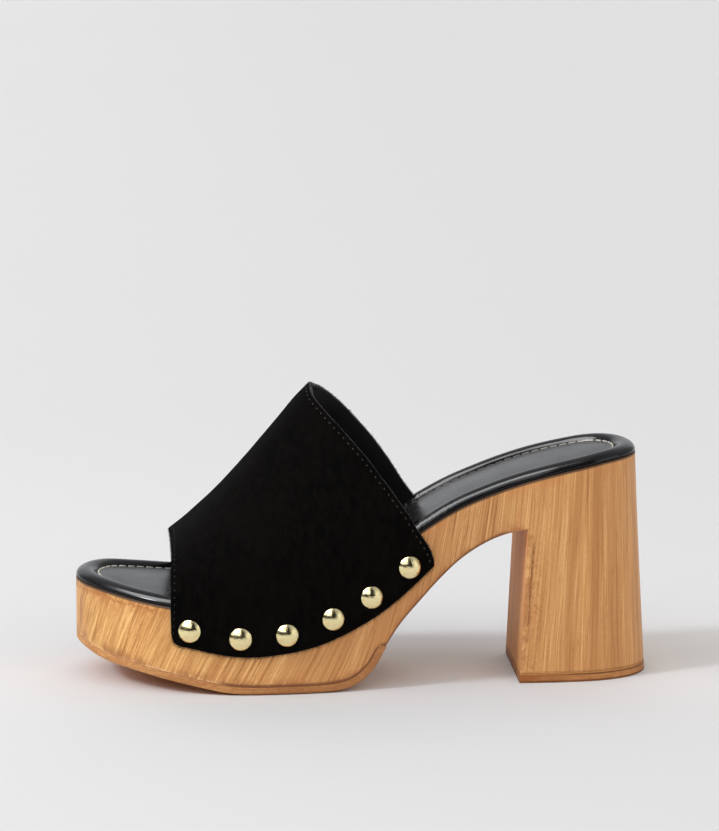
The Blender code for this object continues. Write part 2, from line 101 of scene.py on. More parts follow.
# Side view lines, (x, z)
WOOD_TOP = (
    (-131, 42.4), (-113, 40.6), (-98, 38.5), (-82, 36.7), (-65, 35.4), (-49, 35),
    (-36, 35.9), (-23, 39.2), (-10.5, 44.8), (2, 52.6), (14.4, 61.3), (26, 69), (39, 76.1),
    (51.6, 81.1), (64, 85.2), (77, 88.7), (89, 91.3), (102, 93.7), (109, 94.4), (117, 94.7),
    (130, 95))
TREAD_TOE = (
    (-127, 17), (-121.7, 14.9), (-117.7, 13.4), (-112.7, 11.3), (-106.5, 9.8), (-100, 8.7),
    (-92.5, 7.3), (-84.7, 5.8), (-76.7, 4.2), (-68.7, 2.6), (-61.5, 1.2), (-54.5, 0.3),
    (-48, 0))
TREAD_REAR = (
    (-27, 0), (-19, 0.2), (-11.6, 0.9), (-6.4, 2.4), (-1.7, 5.4), (2.4, 9.7), (6.9, 17.2))
ARCH = (
    (6.6, 18), (13.2, 27.8), (21.6, 37.3), (30.1, 46.3), (38.6, 54), (47.2, 59.6),
    (55.6, 63.4), (67.7, 66.2))
BAND_LOWER_EDGE = (
    (-82.8, 24), (-82.4, 22.6), (-80.4, 21.1), (-76, 20.3), (-70, 19.1), (-62.7, 17.7),
    (-54.5, 16.7), (-46, 16.6), (-37.8, 17.4), (-29.5, 18.6), (-21, 20.7), (-12.7, 23.8),
    (-4.4, 27.7), (3.9, 32.4), (12.2, 38.3), (20.5, 45.4), (27.7, 52))
BAND_CROWN = (
    (-81.3, 61), (-76.3, 65.6), (-69.7, 72.1), (-62.9, 78.8), (-56.1, 86.2), (-49.2, 94.1),
    (-42.4, 102.2), (-35.6, 110.3), (-28.8, 118.6), (-22.8, 124.8))
BAND_REAR_LATERAL = (
    (27.7, 52), (27.3, 55), (26.2, 58.5), (23.5, 63.4), (20.3, 68.2), (16.8, 74.4),
    (12.7, 80.1), (8.3, 86.4), (5, 90.6), (0.6, 96.7), (-4.7, 102.7), (-9.9, 108.4),
    (-15.4, 114), (-18.6, 117.5), (-21, 120), (-22.4, 121.9), (-22.8, 124.8))
BAND_REAR_MEDIAL = (
    (27.7, 52), (28.9, 56.5), (28.3, 61.5), (27, 65.5), (24.8, 69.6), (21.4, 74), (18, 79),
    (14.5, 84.8), (11.1, 89.9), (7.7, 94.7), (4.2, 99.3), (0.7, 103.5), (-2.8, 107.6),
    (-6.3, 111.5), (-9.8, 115.2), (-13.4, 118.5), (-17.2, 121.6), (-22.8, 124.8))
BAND_FRONT = (
    (-82.8, 24), (-82.9, 37.7), (-82.8, 45), (-82.6, 51.6), (-82.2, 56.2), (-81.8, 59.2),
    (-81.3, 61))
STUDS = (
    (-75.3, 27.7), (-54.1, 24.6), (-34.6, 25.9), (-15.2, 32), (1.1, 40.5),
    (17.2, 52.4))

# Height of the padded insole over the wood at each distance in from its outline
CUSHION = (
    (1.6, 0.25), (0.5, 0.3), (0.1, 0.7), (0.2, 1.35), (0.9, 2.45), (2.1, 3.3), (3.6, 3.85),
    (5.1, 4), (6.9, 3.6), (8.35, 2.45), (8.95, 1.4))
SOCK = ((9, 1.1), (8.95, 1.45), (9.2, 1.85), (9.9, 2.05), (12, 2.15))

# ------- looks values
SIDES = (-1, 1)  # lateral, medial
CURVE_STEPS = 24
EDGE_STEPS = 4  # steps round each rounded edge
WOOD_EDGE = 0.3  # rounding of the wood's lower and breast edges
WOOD_RIM = 0.5  # and of its top edge and the one over the top piece
WALL_SHARES = (0.02, 0.12, 0.25, 0.4, 0.55, 0.7, 0.85, 0.97, 1)
COLUMN_CROWDING = 0.9  # power that crowds the heel's rows towards its foot
JOINT_FILL = 0.25  # glue that fills the joint between outsole and wood
OUTSOLE_END_FILL = 1.1  # and at the outsole's rear end
OUTSOLE_RIMS = (0.7, 0.15)  # rounding at the tread, at the joint
OUTSOLE_LEVELS = (1.5, 2.2)  # heights between the two
TOP_PIECE_RIMS = (0.6, 0.15)
TOP_PIECE_LEVELS = (1.6, 2.8)
FRONT_STATIONS = 130  # cross lines from the toe to the heel breast
HEEL_STATIONS = 56  # and from there to the back of the heel
COLUMN_ROWS = 24
PAD_STATIONS = 190
PAD_MIDDLE_ROWS = 13
CROWN_WIDTH = 30.0  # a pad's middle has its full crown where it is this wide
SOCK_CROWN = 0.7
BAND_ROWS = 96
BAND_SIDE_COLUMNS = 18
BAND_ARCH_COLUMNS = 28
SECTION_SAMPLES = 800
SKIVE_DEPTH, SKIVE_WIDTH = 1.3, 2.6  # the band thins towards its nailed edges
CUT_BULGE, CUT_POINTS = 0.25, 7  # its cut edge is slightly round

DOME_RINGS, DOME_SIDES = 18, 48
DOME_FOOT = (-0.02, -0.15, -0.15)  # heights round the head's rim and underneath
DOME_CHAMFER = 0.3
DENTS = 9
DENT_WIDTH, DENT_PLACE, DENT_DEPTH = (0.5, 1.2), (0.6, 1), (-0.035, 0.035)
DENT_FIELD = 0.8  # share of the head's radius that has dents

Seam = namedtuple("Seam", "inset start end pitch length radius")
THROAT_SEAM = Seam(1.9, 4, 4, 3.05, 0.95, 0.24)
TOE_SEAM = Seam(1.7, 4, 4, 3.05, 0.8, 0.16)
SOCK_SEAM = Seam(9.55, 0.5, 2, 4.1, 3.2, 0.36)
SOCK_SEAM_HEIGHT = 2.02
SOCK_SEAM_STATIONS = 400
SOCK_SEAM_DIP = (0.16, 20, 45)  # depth, middle, half length of the trodden part
SEAM_SUNK = 0.06
THREAD_SIDES, THREAD_CAPS = 8, 6

FIBRE_SEED = 11
FIBRES = (1300, 1300, 900, 900)  # on the toe, throat and nailed edges
FIBRE_LENGTH, FIBRE_WIDTH = (0.3, 1.1), (0.05, 0.1)
FIBRE_ROOT = 0.1  # least depth of a root, and its height over the cut
FIBRE_LEAN, FIBRE_RISE = 0.9, 0.6  # along the edge, across the wall
FIBRE_STEP = 0.2
FIBRE_CORNERS = (0, 2.1, 4.2)

HEEL_LINE_Y = next(m["pos_m"][1] for m in frame["record"]["mounts"]
                   if m["name"] == "heel_rest")
TOE_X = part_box("wood_sole")[0].x


def placed(points):
    """Points from the tables, in millimetres, as metres in the frame."""
    shift = np.array([TOE_X - PLAN_TOE[0] * MM, HEEL_LINE_Y, 0])
    return np.asarray(points, dtype=float) * MM + shift


# ------- curves
def between(first, last, share):
    return first * (1 - share) + last * share


def unit(vectors):
    return vectors / np.maximum(np.linalg.norm(vectors, axis=-1, keepdims=True), 1e-9)


def arc_lengths(points):
    steps = np.linalg.norm(np.diff(points, axis=0), axis=1)
    return np.concatenate(([0], np.cumsum(steps)))


def smooth_curve(rows, steps=CURVE_STEPS):
    """Points on a smooth curve through the rows, `steps` to each gap between them."""
    points = np.array(rows, dtype=float)
    along = arc_lengths(points)
    pull = np.gradient(points, along, axis=0)
    gap = np.diff(along)[:, None, None]
    t = np.arange(steps)[:, None] / steps
    curve = ((2 * t**3 - 3 * t**2 + 1) * points[:-1, None]
             + (t**3 - 2 * t**2 + t) * gap * pull[:-1, None]
             + (3 * t**2 - 2 * t**3) * points[1:, None]
             + (t**3 - t**2) * gap * pull[1:, None])
    return np.vstack([curve.reshape(-1, points.shape[1]), points[-1:]])


def smooth_loop(rows):
    wrap = 3
    curve = smooth_curve(rows[-wrap:] + rows + rows[:wrap])
    return curve[wrap * CURVE_STEPS:(wrap + len(rows)) * CURVE_STEPS]


def parallel_line(line, distance):
    """The line moved sideways by `distance`, to the left of its direction."""
    direction = np.gradient(line, axis=0)
    direction /= np.linalg.norm(direction, axis=1)[:, None]
    return line + distance * np.stack([-direction[:, 1], direction[:, 0]], axis=1)


def moved_loop(loop, distance):
    """A closed line moved to the left of its direction, in plan."""
    closed = np.vstack([loop[-1:], loop, loop[:1]])
    closed[:, :2] = parallel_line(closed[:, :2], distance)
    return closed[1:-1]


def resampled(points, distances, along=None):
    """Points at the given distances along a line."""
    along = arc_lengths(points) if along is None else along
    return np.stack([np.interp(distances, along, points[:, k])
                     for k in range(points.shape[1])], axis=-1)


# ------- outlines
@cache
def plan_sides(outset):
    """Lateral and medial halves of the sole's outline, moved outward by `outset`."""
    lateral = [(x, near) for x, near, far in PLAN]
    medial = [(x, far) for x, near, far in reversed(PLAN)]
    moved = moved_loop(smooth_loop([PLAN_TOE] + lateral + [PLAN_HEEL] + medial), -outset)
    moved = np.roll(moved, -int(np.argmin(moved[:, 0])), axis=0)
    heel = int(np.argmax(moved[:, 0]))
    return moved[:heel + 1], np.vstack([moved[heel:], moved[:1]])[::-1]


def height_on(line, x):
    return np.interp(x, line[:, 0], line[:, 1])


def side_y(outset, x, side):
    return height_on(plan_sides(outset)[0 if side < 0 else 1], x)


def on_side(side, outset, x, z, plan_x=None):
    """Points on the outline at x and z, where plan_x is x before the heel's flare."""
    y = side_y(outset, x if plan_x is None else plan_x, side)
    return np.stack([x, y, z * np.ones_like(x)], axis=1)


def ends(outset):
    line = plan_sides(outset)[0]
    return line[0, 0], line[-1, 0]


WOOD_TOP_LINE = smooth_curve(WOOD_TOP)
WOOD_TOP_SLOPE = np.gradient(WOOD_TOP_LINE[:, 1], WOOD_TOP_LINE[:, 0])
TREAD_LINE = np.vstack([smooth_curve(TREAD_TOE), smooth_curve(TREAD_REAR)])
TREAD_END = unit(TREAD_LINE[-1] - TREAD_LINE[-2])
ARCH_LINE = smooth_curve(ARCH)
PLATFORM_LINE = parallel_line(np.vstack([TREAD_LINE, TREAD_LINE[-1] + FIT_GAP * TREAD_END]),
                              OUTSOLE_THICKNESS + FIT_GAP)
UNDERSIDE_LINE = np.vstack([PLATFORM_LINE, ARCH_LINE])
SEAM_Z = ARCH[-1][1]
BREAST_LEAN = (BREAST_TOP_X - BREAST_FOOT_X) / SEAM_Z
HEEL_FOOT_Z = TOP_PIECE_THICKNESS + FIT_GAP + WOOD_RIM


def wood_top_slope(x):
    return np.interp(x, WOOD_TOP_LINE[:, 0], WOOD_TOP_SLOPE)


def flare(z):
    drop = np.maximum(0, (HEEL_TOP_Z - z) / HEEL_TOP_Z)
    return 1 + HEEL_FLARE * drop**FLARE_CURVE


def behind_breast(x, factor):
    return np.where(x > BREAST_TOP_X, BREAST_TOP_X + (x - BREAST_TOP_X) * factor, x)


def flared(x, z):
    return behind_breast(x, flare(z))


def unflared(x, z):
    return behind_breast(x, 1 / flare(z))


# ------- meshes
def added(name, data):
    """A new object in the scene."""
    thing = bpy.data.objects.new(name, data)
    bpy.context.scene.collection.objects.link(thing)
    return thing


class Shell:
    """Vertices and faces from grids that meet at equal points."""

    def __init__(self, *grids):
        self.points, self.faces, self.slots, self.count = [], [], [], 0
        self.patch(*grids)

    def add(self, points, faces, slot=0):
        self.points.append(points)
        self.faces += [tuple(self.count + i for i in face) for face in faces]
        self.slots += [slot] * len(faces)
        self.count += len(points)

    def patch(self, *grids, slot=0):
        """Sheets of quads over (rows, columns, 3) grids in millimetres."""
        for grid in (np.asarray(grid, dtype=float) for grid in grids):
            rows, columns = grid.shape[:2]
            lows = [r * columns + c for r in range(rows - 1) for c in range(columns - 1)]
            self.add(grid.reshape(-1, 3), [(low, low + 1, low + columns + 1, low + columns)
                                           for low in lows], slot)

    def piece(self, name, materials, sharp=40, weld=0.002):
        """The finished object, welded, facing outward, smooth up to `sharp` degrees."""
        mesh = bpy.data.meshes.new(name)
        mesh.from_pydata(placed(np.vstack(self.points)).tolist(), [], self.faces)
        mesh.polygons.foreach_set("material_index", self.slots)
        shape = bmesh.new()
        shape.from_mesh(mesh)
        if weld:
            bmesh.ops.remove_doubles(shape, verts=shape.verts, dist=weld * MM)
            bmesh.ops.dissolve_degenerate(shape, edges=shape.edges, dist=weld * MM / 4)
        bmesh.ops.recalc_face_normals(shape, faces=shape.faces)
        shape.to_mesh(mesh)
        shape.free()
        mesh.shade_smooth()
        mesh.set_sharp_from_angle(angle=math.radians(sharp))
        for material in materials:
            mesh.materials.append(material)
        return added(name, mesh)


def quarter_turn(count):
    return np.linspace(0, math.pi / 2, count + 1)


def arc_rows(radius):
    """(inset, distance from the edge's own face) round a quarter circle."""
    return [(radius * (1 - math.sin(t)), radius * (1 - math.cos(t)))
            for t in quarter_turn(EDGE_STEPS)]


def even_ends(count):
    """Shares from 0 to 1 that are closest together at both ends."""
    return (1 - np.cos(np.linspace(0, math.pi, count + 1))) / 2


def front_x(outset, last_x):
    """Stations from the toe to last_x, closest together at the toe."""
    return between(last_x, ends(outset)[0], np.cos(quarter_turn(FRONT_STATIONS)))


def heel_x(outset):
    """Stations from the breast's edge to the back of the heel, closest together there."""
    turns = quarter_turn(HEEL_STATIONS)
    return between(BREAST_TOP_X + WOOD_EDGE, ends(outset)[1], np.sin(turns))


def heel_corner(side, z, breast_x, inset, distance):
    x = breast_x + distance
    return (x, side_y(-inset, unflared(x, z), side), z)


def heel_side(side, z, breast_x):
    """The heel's side at height z, from behind its breast edge to the back."""
    x = flared(heel_x(0), z)
    first = breast_x + WOOD_EDGE
    x = first + (x - x[0]) * (x[-1] - first) / (x[-1] - x[0])
    return on_side(side, 0, x, z, unflared(x, z))


def heel_half(side, z, breast_x):
    """Half of the heel's outline at height z: breast edge, side, back."""
    corner = [heel_corner(side, z, breast_x, inset, d) for inset, d in arc_rows(WOOD_EDGE)]
    return np.vstack([corner[:-1], heel_side(side, z, breast_x)])


def shrunk(lateral, medial, inset):
    """Both halves of the heel's outline, moved inward."""
    moved = moved_loop(np.vstack([lateral, medial[-2::-1]]), inset)
    count = len(lateral)
    return moved[:count], moved[count - 1:][::-1]


def rounded_rim(shell, lateral, medial, z, radius, rise):
    """A rounded edge of the heel's outline at height z, and the face inside it."""
    rows = []
    for inset, away in arc_rows(radius)[::-1]:
        near, far = shrunk(lateral, medial, inset)
        near[:, 2] = far[:, 2] = z + rise * away
        rows.append((near, far))
    nears, fars = zip(*rows)
    fronts = [[row[0] for row in half] for half in (nears, fars)]
    shell.patch(nears, fars, fronts, rows[-1])


def wood_edge(side):
    """The rounded lower edge from toe to breast, line by line."""
    lines = []
    for inset, d in arc_rows(WOOD_EDGE):
        x = front_x(-inset, BREAST_TOP_X + d)
        z = height_on(UNDERSIDE_LINE, x) + d
        z[-1] = SEAM_Z + d
        lines.append(on_side(side, -inset, x, z))
    return lines


def wood_wall(side, front):
    """The wood's side, over its lower edge and the heel's seam, to its rounded top."""
    foot = np.vstack([front[:-1], heel_side(side, SEAM_Z + WOOD_EDGE, BREAST_TOP_X)])
    plain_x = np.concatenate([front[:-1, 0], heel_x(0)])
    top = height_on(WOOD_TOP_LINE, plain_x) - WOOD_RIM
    rows = [foot]
    for share in WALL_SHARES:
        z = between(foot[:, 2], top, share)
        rows.append(on_side(side, 0, flared(plain_x, z), z, plain_x))
    for inset, d in arc_rows(WOOD_RIM)[::-1][1:]:
        x = np.concatenate([front_x(-inset, BREAST_TOP_X + WOOD_EDGE)[:-1], heel_x(-inset)])
        rows.append(on_side(side, -inset, x, height_on(WOOD_TOP_LINE, x) - d))
    return rows


def heel_column(side):
    """The heel under the seam: its side and its front corner, row by row."""
    column, corners = [], []
    foot_x = BREAST_FOOT_X + BREAST_LEAN * HEEL_FOOT_Z
    for share in np.linspace(0, 1, COLUMN_ROWS + 1)**COLUMN_CROWDING:
        breast_x = between(BREAST_TOP_X, foot_x, share)
        column.append(heel_side(side, between(SEAM_Z + WOOD_EDGE, HEEL_FOOT_Z, share),
                                breast_x))
        corner = [heel_corner(side, between(SEAM_Z + d, HEEL_FOOT_Z, share), breast_x,
                              inset, d) for inset, d in arc_rows(WOOD_EDGE)]
        corner[-1] = column[-1][0]
        corners.append(corner)
    return column, corners


def wood_shell():
    shell = Shell()
    halves = []
    for side in SIDES:
        edge = wood_edge(side)
        wall = wood_wall(side, edge[-1])
        column, corners = heel_column(side)
        shell.patch(edge, wall, column, corners)
        halves.append((edge[0], wall[-1], np.array(corners)[:, 0],
                       np.vstack([corners[-1][:-1], column[-1]])))
    *middles, heel_foot = zip(*halves)
    shell.patch(*middles)
    rounded_rim(shell, *heel_foot, HEEL_FOOT_Z, WOOD_RIM, -1)
    return shell


def outsole_shell():
    """The forefoot slab between the tread and the wood's platform."""
    thickness = OUTSOLE_THICKNESS + JOINT_FILL
    tread = np.vstack([TREAD_LINE, TREAD_LINE[-1] + OUTSOLE_END_FILL * TREAD_END])
    top_line = parallel_line(tread, thickness)
    spacing = even_ends(FRONT_STATIONS)
    foot_rim, top_rim = OUTSOLE_RIMS
    rows = arc_rows(foot_rim) + [(0, height) for height in OUTSOLE_LEVELS]
    rows += [(inset, thickness - d) for inset, d in arc_rows(top_rim)[::-1]]
    halves = []
    for side in SIDES:
        grid = []
        for inset, d in rows:
            toe = ends(-inset)[0]
            foot_x = between(toe, tread[-1, 0], spacing)
            top_x = between(toe, top_line[-1, 0], spacing)
            share = d / thickness
            z = between(height_on(tread, foot_x), height_on(top_line, top_x), share)
            grid.append(on_side(side, -inset, between(foot_x, top_x, share), z))
        halves.append(np.array(grid))
    return Shell(*halves, *([grid[cut] for grid in halves]
                            for cut in (np.s_[0], np.s_[-1], np.s_[:, -1])))


def top_piece_shell():
    """The heel's top piece, down on the floor."""
    rim, top_rim = TOP_PIECE_RIMS
    top = TOP_PIECE_THICKNESS + JOINT_FILL - top_rim
    halves = [np.array([heel_half(side, z, BREAST_FOOT_X + BREAST_LEAN * z)
                        for z in (rim, *TOP_PIECE_LEVELS, top)]) for side in SIDES]
    shell = Shell(*halves, [half[:, 0] for half in halves])
    rounded_rim(shell, *[half[0] for half in halves], rim, rim, -1)
    rounded_rim(shell, *[half[-1] for half in halves], top, top_rim, 1)
    return shell


def on_wood(side, inset, height, stations=PAD_STATIONS):
    """A line over the wood's top, `inset` from its outline, on one side."""
    toe, heel = ends(-inset)
    x = toe + (heel - toe) * even_ends(stations)
    z = height_on(WOOD_TOP_LINE, x) + height * np.hypot(1, wood_top_slope(x))
    return on_side(side, -inset, x, z)


def pad_shell(rows, steps, crown=0):
    """A padded form through (inset, height) rows, with a softly crowned middle."""
    profile = smooth_curve(rows, steps)
    halves = [[on_wood(side, inset, height) for inset, height in profile] for side in SIDES]
    near, far = (half[-1] for half in halves)
    crown = crown * np.minimum(1, np.linalg.norm(far - near, axis=1) / CROWN_WIDTH)
    across = []
    for share in np.linspace(0, 1, PAD_MIDDLE_ROWS):
        row = between(near, far, share)
        row[:, 2] += crown * (1 - (2 * share - 1)**2)
        across.append(row)
    return Shell(*halves, [half[0] for half in halves], across)


# ------- the band
LOWER_LINE = smooth_curve(BAND_LOWER_EDGE)
CROWN_LINE = smooth_curve(BAND_CROWN)
FRONT_LINE = smooth_curve(BAND_FRONT)
REAR_LINES = {-1: smooth_curve(BAND_REAR_LATERAL), 1: smooth_curve(BAND_REAR_MEDIAL)}
EDGES = np.s_[0], np.s_[-1], np.s_[:, 0], np.s_[:, -1]  # of a grid


def at_fraction(line, fraction):
    return resampled(line, fraction * arc_lengths(line)[-1])


def by_height(line, fraction):
    z = between(line[0, 1], line[-1, 1], fraction)
    return np.stack([np.interp(z, line[:, 1], line[:, 0]), z], axis=-1)


def band_side_view(u, n, side):
    """(x, z) on the band at u from toe edge to throat edge and each n, foot to crown."""
    rear_line = REAR_LINES[side]
    corners = [between(FRONT_LINE[end], rear_line[end], u) for end in (0, -1)]
    sides = between(by_height(FRONT_LINE, n), by_height(rear_line, n), u)
    n = n[:, None]
    view = between(at_fraction(LOWER_LINE, u), at_fraction(CROWN_LINE, u), n)
    view += sides - between(*corners, n)
    if side > 0:
        view[:, 0] += BAND_MEDIAL_SETBACK * (1 - u)**2 * (1 - n[:, 0]**2)
    return view


def straight_share(u, side):
    """Share of the section that stands straight beside wood and insole."""
    shares = np.linspace(0, 1, SECTION_SAMPLES)
    view = band_side_view(u, shares, side)
    above = view[:, 1] - height_on(WOOD_TOP_LINE, view[:, 0]) - STRAIGHT_ABOVE_WOOD
    return np.interp(0, above, shares)


def band_half(u, side, outset):
    """One half section, foot to crown, this far outside the sole's outline."""
    fullness = between(BAND_FULLNESS_TOE, BAND_FULLNESS_THROAT, u)
    share = straight_share(u, side)
    turns = quarter_turn(BAND_ARCH_COLUMNS)
    straight = share * np.arange(BAND_SIDE_COLUMNS) / BAND_SIDE_COLUMNS
    arch = share + (1 - share) * np.sin(turns)
    x, z = band_side_view(u, np.concatenate([straight, arch]), side).T
    y = side_y(outset, x, side)
    reach = np.cos(turns) * (1 + fullness * np.sin(turns)**2)
    y[BAND_SIDE_COLUMNS:] = y[BAND_SIDE_COLUMNS] * reach
    return np.stack([x, y, z], axis=1)


@cache
def band_face():
    """Outer face of the band, a row for each section, and its normals."""
    outset = FIT_GAP + BAND_WALL
    grid = []
    for u in even_ends(BAND_ROWS):
        lateral, medial = (band_half(u, side, outset) for side in SIDES)
        grid.append(np.vstack([lateral, medial[-2::-1]]))
    grid = np.array(grid)
    normals = unit(np.cross(np.gradient(grid, axis=0), np.gradient(grid, axis=1)))
    return grid, normals * math.copysign(1, normals[0, grid.shape[1] // 2, 2])


def outward_edges(grid):
    """Unit steps out of the grid across its EDGES."""
    return (unit(grid[0] - grid[1]), unit(grid[-1] - grid[-2]),
            unit(grid[:, 0] - grid[:, 1]), unit(grid[:, -1] - grid[:, -2]))


def foot_distance(grid):
    """Distance of each point of the band from its nearest lower edge."""
    along = np.array([arc_lengths(row) for row in grid])
    return np.minimum(along, along[:, -1:] - along)


def border(grid):
    """The grid's outermost points in order, and the first again."""
    return np.concatenate([grid[0], grid[1:, -1], grid[-1, -2::-1], grid[-2::-1, 0]])


def band_shell():
    """The band's outer face, its lining and the cut edge between them."""
    full, normals = band_face()
    inner = full - BAND_WALL * normals
    thin = SKIVE_DEPTH * np.maximum(0, 1 - foot_distance(full) / SKIVE_WIDTH)**2
    outer = full - thin[..., None] * normals
    out = np.zeros_like(outer)
    for cut, step in zip(EDGES, outward_edges(outer)):
        out[cut] += step
    shares = np.linspace(0, 1, CUT_POINTS)[:, None]
    bulge = CUT_BULGE * np.sqrt(np.maximum(0, 1 - (2 * shares - 1)**2))
    ring = (between(border(outer)[:, None], border(inner)[:, None], shares)
            + border(unit(out))[:, None] * bulge)
    shell = Shell(outer)
    shell.patch(inner[::-1], slot=1)
    shell.patch(ring, slot=2)
    return shell


# ------- small parts
def dome_shell(row, side, seed):
    """A domed nail head on the band's outer face, square to the wood's side."""
    bend = (STUD_RADIUS**2 + STUD_HEIGHT**2) / (2 * STUD_HEIGHT)
    turns = np.linspace(0, math.asin(STUD_RADIUS / bend), DOME_RINGS + 1)
    radii = np.append(bend * np.sin(turns), [STUD_RADIUS, STUD_RADIUS - DOME_CHAMFER, 0])
    heights = np.append(STUD_HEIGHT - bend + bend * np.cos(turns), DOME_FOOT)
    turns = np.linspace(0, 2 * math.pi, DOME_SIDES + 1)
    circles = radii[:, None, None] * np.stack([np.cos(turns), np.sin(turns)], axis=1)
    field = np.where(heights > 0, 1 - radii / STUD_RADIUS, 0)[:, None]
    lift = np.zeros(circles.shape[:2])
    rng = random.Random(seed)
    for _ in range(DENTS):
        turn, wide = rng.uniform(0, 2 * math.pi), rng.uniform(*DENT_WIDTH)
        out, deep = rng.uniform(*DENT_PLACE), rng.uniform(*DENT_DEPTH)
        spot = np.array([math.cos(turn), math.sin(turn)]) * out * STUD_RADIUS * DENT_FIELD
        square = ((circles - spot)**2).sum(axis=2)
        lift += deep * np.exp(-square / (2 * wide**2)) * field
    x, z = row
    outset = 2 * FIT_GAP + BAND_WALL
    slope = (side_y(outset, x + 1, side) - side_y(outset, x - 1, side)) / 2
    outward = Vector((-side * slope, side, 0)).normalized()
    turn = np.array(outward.to_track_quat("Z", "Y").to_matrix())
    centre = np.array([x, side_y(outset, x, side), z])
    return Shell(np.dstack([circles, heights[:, None] + lift]) @ turn.T + centre)


def sew(shell, path, normals, seam, sunk=0):
    """A row of rounded threads along a path that lies on a surface."""
    places = np.arange(seam.start, arc_lengths(path)[-1] - seam.end, seam.pitch)
    step = seam.pitch / 4
    ways = unit(resampled(path, places + step) - resampled(path, places - step))
    ups = unit(resampled(normals, places, arc_lengths(path)))
    half, radius = seam.length / 2 - seam.radius, seam.radius
    caps = [(math.copysign(half, turn) + radius * math.sin(turn), radius * math.cos(turn))
            for turn in np.linspace(-math.pi / 2, math.pi / 2, THREAD_CAPS)]
    turns = np.linspace(0, 2 * math.pi, THREAD_SIDES + 1)[:, None]
    for centre, way, up in zip(resampled(path, places) - sunk * ups, ways, ups):
        across = unit(np.cross(up, way))
        circle = np.cos(turns) * across + np.sin(turns) * up
        shell.patch([centre + way * reach + wide * circle for reach, wide in caps])


def band_stitches():
    """Seams along the band's throat and toe edges."""
    shell = Shell()
    for end, seam in ((-1, THROAT_SEAM), (1, TOE_SEAM)):
        path, ups = [], []
        for line, normals in zip(*(rows[::end].swapaxes(0, 1) for rows in band_face())):
            along = arc_lengths(line)
            path.append(resampled(line, seam.inset, along))
            ups.append(resampled(normals, seam.inset, along))
        sew(shell, np.array(path), np.array(ups), seam, SEAM_SUNK)
    return shell


def sock_stitches():
    """Thread round the edge of the insole's middle panel."""
    shell = Shell()
    lateral, medial = (on_wood(side, SOCK_SEAM.inset, SOCK_SEAM_HEIGHT, SOCK_SEAM_STATIONS)
                       for side in SIDES)
    path = np.vstack([lateral, medial[-2::-1]])
    depth, middle, half = SOCK_SEAM_DIP
    path[:, 2] -= depth * np.exp(-((path[:, 0] - middle) / half)**4)
    normals = np.tile([0.0, 0.0, 1.0], (len(path), 1))
    normals[:, 0] = -wood_top_slope(path[:, 0])
    sew(shell, path, unit(normals), SOCK_SEAM)
    return shell


def band_fuzz():
    """Short loose fibres along the band's cut edges."""
    rng = random.Random(FIBRE_SEED)
    grid, normals = band_face()
    points, faces = [], []
    for cut, outs, count in zip(EDGES, outward_edges(grid), FIBRES):
        line, ups = grid[cut], normals[cut]
        along = arc_lengths(line)
        for _ in range(count):
            at = rng.uniform(0, along[-1])
            root, up, out = (resampled(rows, at, along) for rows in (line, ups, outs))
            way = unit(resampled(line, at + FIBRE_STEP, along) - root + 1e-6)
            depth = rng.uniform(FIBRE_ROOT, BAND_WALL - 2 * FIBRE_ROOT)
            root = root - up * depth + out * FIBRE_ROOT
            lean = rng.uniform(-FIBRE_LEAN, FIBRE_LEAN)
            rise = rng.uniform(-FIBRE_RISE, FIBRE_RISE)
            tip = root + unit(out + way * lean + up * rise) * rng.uniform(*FIBRE_LENGTH)
            wide = rng.uniform(*FIBRE_WIDTH)
            base = len(points)
            points += [root + wide * (math.cos(turn) * way + math.sin(turn) * up)
                       for turn in FIBRE_CORNERS] + [tip]
            faces += [(base, base + 1, base + 3), (base + 1, base + 2, base + 3),
                      (base + 2, base, base + 3), (base, base + 2, base + 1)]
    shell = Shell()
    shell.add(points, faces)
    return shell


# ------- node materials
# Darker strips of the heel's grain: place, reach, heights where one fades in, strength
HEEL_STRIPS = (
    (95.5, 4.2, -9, 0, 0.42), (86, 3, 40, 62, 0.38),
    (104.5, 2.2, -9, 0, 0.22), (77, 2, 10, 40, 0.18))
CRACK_X, CRACK_LEAN, CRACK_WANDER = 66.9, 0.05, 1.8
TRICKLE_DROP, TRICKLE_WANDER = 5.8, 7.0
HEEL_LINE_Z = 3.25  # a dark line is painted round the heel slab at this height
RIB_HALF, ZIGZAG_HALF, ZIGZAG_LEAN = 1.1, 5, 0.8


